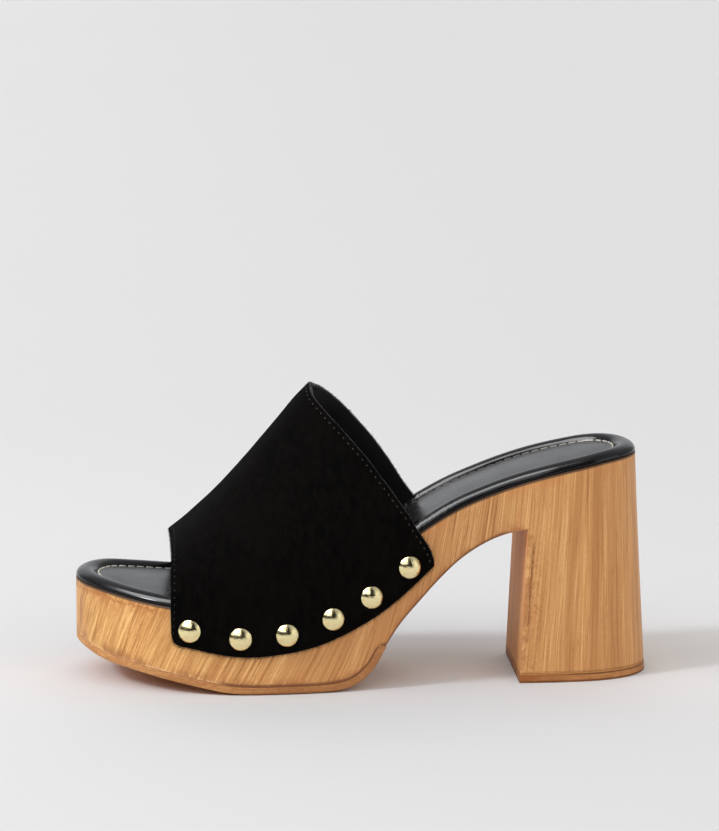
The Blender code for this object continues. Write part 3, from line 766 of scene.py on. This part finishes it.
class Graph:
    """A short way to write a node tree, a material's or the world's.

    Its colour starts as `base`, and each paint() or tint() lays one named layer over it.
    """

    def __init__(self, name=None, base=None, world=None):
        self.material = world or bpy.data.materials.new(name)
        self.material.use_nodes = True
        self.tree = self.material.node_tree
        self.shader = self.tree.nodes.get("Principled BSDF")
        self.colour = base

    def node(self, kind, inputs=(), **settings):
        node = self.tree.nodes.new("ShaderNode" + kind)
        for key, value in settings.items():
            setattr(node, key, value)
        for key, value in dict(inputs).items():
            self.feed(node.inputs[key], value)
        return node

    def add(self, kind, inputs=(), output=0, **settings):
        """A new node's output."""
        return self.node(kind, inputs, **settings).outputs[output]

    def feed(self, socket, value):
        """Link or set the socket.  A tuple that starts with an output is a ramp of it."""
        if isinstance(value, tuple) and isinstance(value[0], bpy.types.NodeSocket):
            value = self.ramp(*value)
        if isinstance(value, bpy.types.NodeSocket):
            self.tree.links.new(value, socket)
        else:
            socket.default_value = value

    def math(self, operation, a, b=0):
        return self.add("Math", {0: a, 1: b}, operation=operation)

    def plus(self, total, *others):
        for other in others:
            total = self.math("ADD", total, other)
        return total

    def times(self, product, *factors):
        for factor in factors:
            product = self.math("MULTIPLY", product, factor)
        return product

    def less(self, a, b):
        return self.math("SUBTRACT", a, b)

    def away(self, value, centre):
        return self.math("ABSOLUTE", self.less(value, centre))

    def mixed(self, share, a, b):
        return self.add("Mix", {0: share, 2: a, 3: b}, data_type="FLOAT")

    def ramp(self, value, low, high, low_out=0, high_out=1, curve="SMOOTHSTEP"):
        return self.add("MapRange", enumerate((value, low, high, low_out, high_out)),
                        interpolation_type=curve)

    def within(self, value, start, full, wane, end, peak=1):
        """`peak` from full to wane, falling off to zero at start and at end."""
        return self.times(self.ramp(value, start, full),
                          self.ramp(value, wane, end, peak, 0))

    def split(self, vector):
        return self.node("SeparateXYZ", {0: vector}).outputs

    def facing(self):
        """The parts of the face's normal."""
        return self.split(self.add("NewGeometry", output="True Normal"))

    def attribute(self, name):
        return self.add("Attribute", output="Fac", attribute_name=name)

    @cached_property
    def place(self):
        """Object coordinates in millimetres."""
        metres = self.add("TexCoord", output="Object")
        return self.add("VectorMath", {0: metres, "Scale": 1 / MM}, operation="SCALE")

    def noise(self, scale, detail=3, roughness=0.5, distortion=0, at=None):
        """Noise of one scale, or of a scale for each axis."""
        at = at or self.place
        if isinstance(scale, tuple):
            at = self.add("VectorMath", {0: at, 1: scale}, operation="MULTIPLY")
            scale = 1
        return self.add("TexNoise", {"Vector": at, "Scale": scale, "Detail": detail,
                                     "Roughness": roughness, "Distortion": distortion})

    def paint(self, layer, share, colour, blend="MIX"):
        node = self.node("Mix", data_type="RGBA", blend_type=blend, label=layer)
        self.feed(node.inputs[0], share)
        for key, value in ((6, self.colour), (7, colour)):
            self.feed(node.inputs[key], (*value, 1) if isinstance(value, tuple) else value)
        self.colour = node.outputs[2]

    def tint(self, layer, share, factors):
        self.paint(layer, share, factors, "MULTIPLY")

    def relief(self, *layers):
        """Bumps over one another: height, distance in millimetres, strength of each."""
        below = {}
        for height, distance, strength in layers:
            below["Normal"] = self.add("Bump", {
                "Height": height, "Distance": distance * MM, "Strength": strength, **below})
        return below["Normal"]

    def finish(self, **inputs):
        """The material, with its colour and these inputs on its shader."""
        for key, value in dict(inputs, Base_Color=self.colour).items():
            self.feed(self.shader.inputs[key.replace("_", " ")], value)
        return self.material


def scaled(colour, factor):
    return tuple(factor * channel for channel in colour)


def wood_material():
    """Honey-tan fibres that stand upright in the heel and lie over in the platform."""
    g = Graph("wood_grain", base=(0.385, 0.152, 0.04))
    x, y, z = g.split(g.place)
    lean = g.less((x, -12, 32, 0.53, 0.2, "LINEAR"), (x, 32, 100, 0, 0.17, "LINEAR"))
    lean = g.times(lean, g.attribute("run"))
    wander = g.noise((0.03, 0.03, 0.02), 1)
    across = g.plus(g.less(g.attribute("girth"), g.times(lean, z)), g.times(wander, 2))
    breast = g.times((g.facing()[0], -0.7, -0.95), (x, 50, 58))
    across = g.mixed(breast, across, y)
    grain = g.add("CombineXYZ", {0: across, 1: g.times(y, 0.15), 2: z})
    grain = g.add("VectorRotate", {"Vector": grain, "Angle": 0.6}, rotation_type="Z_AXIS")

    fibres = g.noise((1.35, 1.35, 0.022), 3, 0.6, at=grain)
    lines = g.noise((0.5, 0.5, 0.012), 2, 0.55, at=grain)
    bands = g.noise((0.1, 0.1, 0.005), 2, at=grain)
    rings = g.away(g.noise((0.22, 0.22, 0.006), 2, at=grain), 0.5)
    pores = g.noise((2.4, 2.4, 0.14), 2, 0.6, at=grain)
    specks = g.noise((1.3, 1.3, 1), 2, 0.65)
    smudge = g.noise((0.16, 0.16, 0.1), 4, 0.7)
    spots = g.noise((0.75, 0.75, 0.45), 3, 0.7)

    tone = g.plus(g.times(fibres, 0.62), g.times(lines, 0.26), g.times(specks, 0.12))
    calm = g.less((x, 40, 75, 1, 0.68), g.times(breast, 0.45))
    tone = g.plus(0.508, g.times(g.less(tone, 0.5), calm))
    g.paint("middle tone", (tone, 0.38, 0.505), (0.65, 0.326, 0.109))
    g.paint("light tone", (tone, 0.495, 0.62), (0.83, 0.492, 0.198))
    g.paint("bands", (bands, 0.4, 0.64, 0, 0.38), (0.49, 0.215, 0.066))
    g.paint("rings", (rings, 0, 0.02, 0.32, 0), (0.42, 0.16, 0.045))
    g.paint("pores", (pores, 0.6, 0.72, 0, 0.55), (0.36, 0.14, 0.04))
    g.paint("ruddy middle", g.within(x, -50, -15, 12, 45, 0.36), (0.44, 0.185, 0.066))
    for centre, reach, low, high, strength in HEEL_STRIPS:
        strip = g.ramp(g.away(across, centre), 0.3, reach, strength, 0)
        g.paint("heel strip", g.times(strip, (z, low, high)), (0.44, 0.178, 0.049))
    # partly the wood's own paler colour, partly painted light: the toe is lightened where
    # it faces the light
    g.tint("pale toe", (x, -60, -105), (1.17, 1.2, 1.14))
    g.tint("rear", (x, 15, 30), (0.93, 0.92, 0.95))
    g.tint("waist", g.within(x, 25, 45, 54, 66), (0.91, 0.9, 0.9))
    g.paint("breast's foot", g.times(breast, (z, 30, 0, 0, 0.35)), (0.4, 0.15, 0.045))
    g.tint("breast", g.times(breast, (z, 0, 60, 0.25, 1)), (1.62, 1.48, 1.58))

    # The crack beside the heel's front edge, on the outer side
    sides = g.less(1, breast)
    outer = g.times((y, -22, -25), sides)
    crack = g.plus(g.less(x, CRACK_X), g.times(z, -CRACK_LEAN),
                   g.times(g.less(smudge, 0.5), CRACK_WANDER))
    beside = g.away(crack, 0)
    worn = g.times(g.within(crack, -7, -5, -1.6, -0.9), outer, (z, 60, 50, 0, 0.42))
    g.paint("worn edge", worn, (0.88, 0.52, 0.24))
    streak = g.times((beside, 0.1, 0.75, 0.9, 0), outer,
                     g.within(z, 16, 30, 54, 66), (specks, 0.36, 0.5))
    g.paint("crack", streak, (0.17, 0.055, 0.016))
    near = g.times((beside, 1, 7, 0.6, 0), outer, (z, 62, 50),
                   (x, 60, 62), (spots, 0.52, 0.64))
    g.paint("spots by the crack", near, (0.33, 0.115, 0.03))

    # What the lower edge and the insole's roll leave on the wood, with a painted highlight
    # on the toe's lower edge and painted shade under the roll
    rim, crest = g.attribute("above_edge"), g.attribute("below_top")
    # painted highlight: a pale line along the toe's lower edge, at the joint with the
    # outsole
    g.paint("pale toe edge", g.times((x, -52, -72), (rim, 0.2, 0.9, 0.8, 0)),
            (0.95, 0.62, 0.33))
    g.paint("dirt", g.times((rim, 0.5, 5, 0.7, 0), sides, (smudge, 0.42, 0.58)),
            (0.38, 0.14, 0.045))
    dark = g.times((rim, 0.7, 1.8, 1, 0), g.within(x, -66, -58, 55, 64, 0.85))
    g.paint("dark edge", dark, (0.17, 0.058, 0.02))
    stain = g.times((crest, 1, 9, 0.9, 0), (smudge, 0.42, 0.6),
                    (x, -40, -80, 0.45, 1), sides)
    g.paint("stain", stain, (0.52, 0.2, 0.052))
    trickle = g.away(g.plus(crest, g.times(smudge, TRICKLE_WANDER)), TRICKLE_DROP)
    trickle = g.times((trickle, 0.2, 1.4, 0.9, 0), (x, -80, -92), (spots, 0.36, 0.62))
    g.paint("trickle", trickle, (0.5, 0.17, 0.038))
    # painted shade: a dark line on the wood right under the insole's roll, where the roll
    # shades it
    g.paint("line under the roll", (crest, 0.4, 1.4, 0.95, 0), (0.05, 0.022, 0.012))

    return g.finish(Roughness=(fibres, 0.3, 0.7, 0.44, 0.6), Coat_Roughness=0.32,
                    Normal=g.relief((fibres, 0.12, 0.6), (pores, 0.05, 0.5)),
                    Coat_Weight=(breast, 0, 1, 0.1, 0),
                    Specular_IOR_Level=(breast, 0, 1, 0.35, 0.05))


def outsole_material():
    """Tan rubber, with a fine tread of cross ribs on its underside."""
    g = Graph("outsole_tan", base=(0.43, 0.178, 0.058))
    x, y, z = g.split(g.place)
    fine = g.noise((0.5, 0.5, 1.6), 4, 0.7)
    patches = g.noise((0.07, 0.07, 0.3), 3)
    specks = g.noise(2.2, 2, 0.7)
    smears = g.noise((0.22, 0.22, 0.5), 4, 0.7)
    g.paint("light tone", (fine, 0.34, 0.66), (0.62, 0.32, 0.122))
    g.paint("patches", (patches, 0.42, 0.62, 0, 0.5), (0.39, 0.158, 0.05))
    g.paint("dark middle", g.within(x, -66, -40, 0, 30, 0.5), (0.27, 0.11, 0.04))
    g.tint("pale toe", (x, -85, -112), (1.24, 1.27, 1.28))
    g.paint("specks", (specks, 0.62, 0.74, 0, 0.3), (0.27, 0.1, 0.038))

    heel = g.ramp(x, 55, 62)
    front = g.times(heel, (x, 68, 95, 0.75, 0.15))
    g.paint("smears", g.times(front, (smears, 0.38, 0.6)), (0.23, 0.075, 0.02))
    g.paint("dark heel front", g.times(front, 0.8), (0.33, 0.11, 0.03))
    # painted shade: darkens the bottom edge of both slabs, where they meet the floor
    g.paint("dark foot", (z, 0.4, 1.3, 0.75, 0), (0.16, 0.06, 0.02))
    upper = g.ramp(z, HEEL_LINE_Z, HEEL_LINE_Z + 0.25, 0, 0.75)
    g.paint("over the heel's line", g.times(heel, upper), (0.5, 0.225, 0.07))
    line = g.times((g.away(z, HEEL_LINE_Z), 0.1, 0.45, 0.9, 0), (x, 72, 92, 0.2, 1), heel)
    g.paint("heel's line", line, (0.1, 0.035, 0.014))

    under = g.ramp(g.facing()[2], -0.75, -0.92)
    zigzag = g.times(g.math("PINGPONG", y, ZIGZAG_HALF), ZIGZAG_LEAN)
    rib = g.math("PINGPONG", g.plus(x, zigzag), RIB_HALF)
    tread = g.times((rib, 0.35, 0.75), under)
    g.tint("underside", under, (1.5, 1.1, 0.8))
    g.paint("tread", g.times(tread, 0.35), (0.24, 0.1, 0.04))
    return g.finish(Specular_IOR_Level=0.3, Roughness=(fine, 0.3, 0.7, 0.55, 0.72),
                    Normal=g.relief((tread, 0.5, 0.8), (specks, 0.05, 0.4)))


def leather_material(name, tint, roughness, grain, level=0.5, folding=0):
    """Black smooth leather: faint pebbled grain, marks, folds and a soft sheen."""
    g = Graph(name, base=tint)
    pebbles = g.add("TexVoronoi", {"Vector": g.place, "Scale": 1.35}, feature="SMOOTH_F1")
    creases = g.noise((0.12, 0.5, 0.3), 5, 0.6, 0.4)
    marks = g.noise(0.07, 3, 0.6)
    fine = g.noise(3, 2, 0.6)
    g.paint("marks", (marks, 0.35, 0.7), scaled(tint, 1.6))
    g.paint("specks", (fine, 0.6, 0.75, 0, 0.35), scaled(tint, 3))
    gloss = g.plus((marks, 0.35, 0.7, roughness - 0.02, roughness + 0.04),
                   (pebbles, 0.1, 0.6, 0.03, -0.02))
    folds = g.times(g.within(g.split(g.place)[0], 14, 20, 30, 44),
                    g.noise((0.34, 0.25, 0.34), 2))
    return g.finish(Specular_IOR_Level=level, Roughness=gloss, Normal=g.relief(
        (pebbles, 0.05, grain), (creases, 0.25, grain * 0.6), (folds, 0.5, folding)))


def suede_material(name, dark, bright, sheen):
    """Black suede: brushed nap with short fibres and soft hand marks."""
    g = Graph(name, base=dark)
    nap = g.noise(2.6, 4, 0.75)
    brushed = g.noise((0.35, 0.35, 0.12), 4, 0.65, 0.6)
    hand = g.noise(0.035, 3, 0.6, 0.8)
    tone = g.plus(g.times(nap, 0.5), g.times(brushed, 0.5))
    g.paint("raised nap", (tone, 0.38, 0.66), bright)
    g.paint("hand marks", (hand, 0.45, 0.75, 0, 0.5), bright)
    return g.finish(Specular_IOR_Level=0.04, Sheen_Weight=sheen,
                    Roughness=(nap, 0.3, 0.7, 0.86, 1),
                    Normal=g.relief((nap, 0.28, 0.7), (brushed, 0.35, 0.3)),
                    Sheen_Roughness=0.45, Sheen_Tint=(0.8, 0.8, 0.85, 1))


def thread_material(name, light, dark):
    """Twisted sewing thread, dimmed by painted shade along most of its length and darkest
    in the middle.
    """
    g = Graph(name, base=dark)
    x = g.split(g.place)[0]
    twist = g.add("TexWave", {"Vector": g.place, "Scale": 0.9, "Distortion": 1.5}, "Fac",
                  wave_type="BANDS", bands_direction="DIAGONAL")
    worn = g.noise(0.35, 3)
    faded = g.noise(0.11, 2)
    g.paint("light strands", (twist, 0.2, 0.8), light)
    g.paint("wear", (worn, 0.45, 0.7, 0, 0.6), dark)
    g.paint("fading", (faded, 0.44, 0.58, 0, 0.7), dark)
    # painted shade: dims the thread along most of its length, least near its ends
    g.paint("dust", g.within(x, -106, -92, 85, 98, 0.75), scaled(light, 0.3))
    # painted shade: darkens the middle of the thread most, broken up by noise
    trodden = g.times(g.within(x, -45, -20, 60, 82), (worn, 0.3, 0.55, 0.5, 0.85))
    g.paint("trodden", trodden, (0.03, 0.028, 0.025))
    return g.finish(Roughness=(worn, 0.3, 0.7, 0.6, 0.8),
                    Normal=g.relief((twist, 0.08, 0.6)))


def brass_material():
    """Polished pale brass, finely hammered, with faint tarnish."""
    g = Graph("pale_brass", base=(1, 0.87, 0.48))
    uneven = g.noise(1.1, 2, 0.55)
    specks = g.noise(3.4, 2, 0.7)
    tarnish = g.noise(0.5, 3, 0.6)
    g.paint("tarnish", (tarnish, 0.45, 0.7, 0, 0.5), (0.92, 0.73, 0.35))
    g.paint("specks", (specks, 0.58, 0.7, 0, 0.7), (0.36, 0.25, 0.1))
    return g.finish(Metallic=1, Roughness=(specks, 0.4, 0.75, 0.05, 0.26),
                    Normal=g.relief((uneven, 0.17, 0.7), (specks, 0.04, 0.7)))


def floor_material():
    """Matt white paper, with painted shade that makes it a little darker away to the right
    and to the back.
    """
    g = Graph("studio_paper", base=(0.775, 0.79, 0.812))
    x, y, z = g.split(g.place)
    # painted shade: darker away to the right and to the back, where the light falls off
    g.paint("right", (x, -300, 300), (0.695, 0.71, 0.73))
    g.paint("back", (y, 100, 700, 0, 0.4), (0.665, 0.673, 0.69))
    g.paint("clouds", (g.noise(0.0016, 2), 0.4, 0.7, 0, 0.12), (0.7, 0.7, 0.7))
    return g.finish(Roughness=0.95, Specular_IOR_Level=0)


# ------- the wood's own measures
BREAST_EDGE_REACH = 4.0  # the breast's front edge counts as a lower edge this far back
BREAST_EDGE_RATE, BREAST_EDGE_LEAST = 0.55, 1.2
NO_EDGE = 9.0


def round_outline(x, y):
    """Distance round the outline from where x is zero, and how far it runs along x."""
    girth, run = np.zeros_like(x), np.zeros_like(x)
    for line, here in zip(plan_sides(0), (y < 0, y >= 0)):
        line_x, along = line[:, 0], arc_lengths(line)
        girth[here] = np.interp(x[here], line_x, along - np.interp(0, line_x, along))
        run[here] = np.interp(x[here], line_x, np.gradient(line_x, along))
    return girth, run


def measure_wood(piece):
    """Place round the outline, height over the edge, depth under the top."""
    mesh = piece.data
    points = np.array([vertex.co for vertex in mesh.vertices])
    x, y, z = ((points - placed([0, 0, 0])) / MM).T
    girth, run = round_outline(unflared(x, z), y)
    above = z - height_on(UNDERSIDE_LINE, x)
    behind = x - (BREAST_FOOT_X + BREAST_LEAN * z)
    above = np.where((x > BREAST_TOP_X - BREAST_EDGE_REACH) & (z < SEAM_Z),
                     BREAST_EDGE_RATE * behind + BREAST_EDGE_LEAST, above)
    above = np.where((x > BREAST_TOP_X) & (z >= SEAM_Z), NO_EDGE, above)
    for name, values in (("above_edge", above), ("girth", girth), ("run", run),
                         ("below_top", height_on(WOOD_TOP_LINE, x) - z)):
        attribute = mesh.attributes.new(name, "FLOAT", "POINT")
        attribute.data.foreach_set("value", values.astype(np.float32))


# ------- the clog
def dressed(shell, name, materials, slot, *nodes, **mesh):
    """A piece that rides the clog and stands for CAD nodes; slot is not used."""
    piece = shell.piece(name, materials, **mesh)
    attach(piece, "root")
    if nodes:
        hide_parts(*nodes)
    return piece


def build_clog():
    wood = dressed(wood_shell(), "wood_body", [wood_material()], "wood", "wood_sole")
    measure_wood(wood)
    rubber = [outsole_material()]
    dressed(outsole_shell(), "outsole_slab", rubber, "outsole_rubber", "forefoot_outsole")
    dressed(top_piece_shell(), "heel_slab", rubber, "outsole_rubber", "heel_top_piece")

    roll = leather_material("leather_roll", (0.0025, 0.0025, 0.003), 0.17, 0.12, 0.42, 0.5)
    flat = leather_material("leather_panel", (0.011, 0.011, 0.012), 0.29, 0.25, 0.95)
    pad = dressed(pad_shell(CUSHION, 7), "insole_roll", [roll], "insole_leather",
                  "insole_cushion", sharp=60)
    panel = dressed(pad_shell(SOCK, 4, SOCK_CROWN), "insole_panel", [flat],
                    "insole_leather", "sock_panel", sharp=50)
    cream = thread_material("cream_thread", (0.88, 0.86, 0.78), (0.6, 0.57, 0.49))
    dressed(sock_stitches(), "insole_stitches", [cream], "insole_leather")

    suede = suede_material("suede_nap", (0.0008, 0.0007, 0.0006),
                           (0.0042, 0.0034, 0.003), 0.004)
    lining = leather_material("band_lining", (0.003, 0.003, 0.0035), 0.45, 0.5)
    cut = suede_material("suede_cut_edge", (0.02, 0.02, 0.02), (0.13, 0.13, 0.13), 0.05)
    dressed(band_shell(), "suede_band", [suede, lining, cut], "suede", "upper", sharp=50)
    dressed(band_fuzz(), "suede_fibres", [suede], "suede", weld=0)
    grey = thread_material("grey_thread", (0.08, 0.08, 0.085), (0.02, 0.02, 0.022))
    dressed(band_stitches(), "band_stitches", [grey], "suede")

    brass = [brass_material()]
    for side, side_name in zip(SIDES, ("lateral", "medial")):
        for number, row in enumerate(STUDS, start=1):
            dressed(dome_shell(row, side, 10 * number + side),
                    f"nail_head_{side_name}_{number}", brass, "brass",
                    f"stud_{side_name}_{number}", sharp=55)


# ------- studio
SUNS = (  # name, from, strength, angle, colour, what doesn't show it
    ("key_sun", (-0.694, -0.324, 0.643), 1, 9, (0.97, 1, 1.03), ()),
    ("fill_0", (0.35, -0.78, 0.52), 1, 60, (1, 0.86, 0.72), ["visible_glossy"]),
    ("fill_1", (0.1, 0.85, 0.5), 0.9, 70, (1, 0.86, 0.72), ["visible_glossy"]),
    ("glint", (-0.4, -0.06, 0.914), 2.7, 40, (1, 1, 1), ["visible_diffuse"]))
TENT_LOW, TENT_HIGH, TENT_TURN = 0.58, 0.42, (62, 72)
# azimuth from the front (- to the toe) first and last, height first and last (degrees),
# brightness, softness of the part's border
TENT_PARTS = (
    (-5, 42, -95, 66, 0.03, 3),
    (-100, -5, -95, 25, 0.03, 3),
    (-100, -5, 25, 62, 2.3, 3),
    (42, 85, -95, 36, 1.15, 5),
    (85, 150, -95, 36, 0.4, 5),
    (-150, -100, -95, 40, 0.38, 5),
    (150, 190, -95, 30, 0.8, 6),
    (-190, -150, -95, 30, 0.9, 6))
FLOOR_RADII = (0.3, 0.8, 2, 6, 14)
FLOOR_SIDES = 64
FLOOR_DROP = 0.0001
CAMERA_PLACE = (-0.14567, -1.99434, 0.46332)
CAMERA_PITCH, CAMERA_YAW = 10.0077, 4.1428
SENSOR_WIDTH = 36.0
FOCAL_PIXELS, FRAME_PIXELS = 4800, 831  # the photo's longer side spans the sensor


def add_floor():
    turns = np.linspace(0, 2 * math.pi, FLOOR_SIDES, endpoint=False)
    points = [(radius * math.cos(turn), radius * math.sin(turn), 0)
              for radius in FLOOR_RADII for turn in turns]
    faces = [tuple(range(FLOOR_SIDES))]
    for here in range(len(points) - FLOOR_SIDES):
        after = here + 1 if (here + 1) % FLOOR_SIDES else here + 1 - FLOOR_SIDES
        faces.append((here, here + FLOOR_SIDES, after + FLOOR_SIDES, after))
    mesh = bpy.data.meshes.new("studio_floor")
    mesh.from_pydata(points, [], faces)
    mesh.materials.append(floor_material())
    floor = added("studio_floor", mesh)
    floor.location = (0, 0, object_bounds()[0].z - FLOOR_DROP)


def add_sun(name, place, strength, angle, colour, hidden):
    light = bpy.data.lights.new(name, "SUN")
    light.color, light.energy, light.angle = colour, strength, math.radians(angle)
    thing = added(name, light)
    thing.location = place
    thing.rotation_euler = (-Vector(place)).to_track_quat("-Z", "Y").to_euler()
    for key in hidden:
        setattr(thing, key, False)


def add_world():
    """A pale room to the eye; for light, a white tent with a softbox and dark gaps."""
    world = bpy.context.scene.world = bpy.data.worlds.new("studio_room")
    g = Graph(world=world)
    g.tree.nodes.clear()
    x, y, z = g.split(g.add("TexCoord"))  # the direction of view
    azimuth = g.times(g.math("ARCTAN2", x, g.times(y, -1)), math.degrees(1))
    height = g.times(g.math("ARCSINE", z), math.degrees(1))
    level = g.ramp(height, *TENT_TURN, TENT_LOW, TENT_HIGH)
    for first, last, low, high, value, soft in TENT_PARTS:
        share = g.times(*(g.within(at, a - soft, a + soft, b - soft, b + soft)
                          for at, a, b in ((azimuth, first, last), (height, low, high))))
        level = g.mixed(share, level, value)
    room = g.add("Background", {"Color": (0.785, 0.8, 0.825, 1), "Strength": level})
    plain = g.add("Background", {"Color": (0.76, 0.76, 0.765, 1)})
    eye = g.add("LightPath", output="Is Camera Ray")
    both = g.add("MixShader", {0: eye, 1: room, 2: plain})
    g.node("OutputWorld", {"Surface": both})


def add_camera():
    data = bpy.data.cameras.new("photo_camera")
    data.sensor_width = SENSOR_WIDTH
    data.lens = SENSOR_WIDTH * FOCAL_PIXELS / FRAME_PIXELS
    data.clip_start, data.clip_end = 0.05, 60
    camera = added("photo_camera", data)
    camera.location = CAMERA_PLACE
    camera.rotation_euler = (math.radians(90 - CAMERA_PITCH), 0, -math.radians(CAMERA_YAW))
    bpy.context.scene.camera = camera


bpy.context.scene.view_settings.view_transform = "Standard"
add_camera()
build_clog()
add_floor()
add_world()
for sun in SUNS:
    add_sun(*sun)
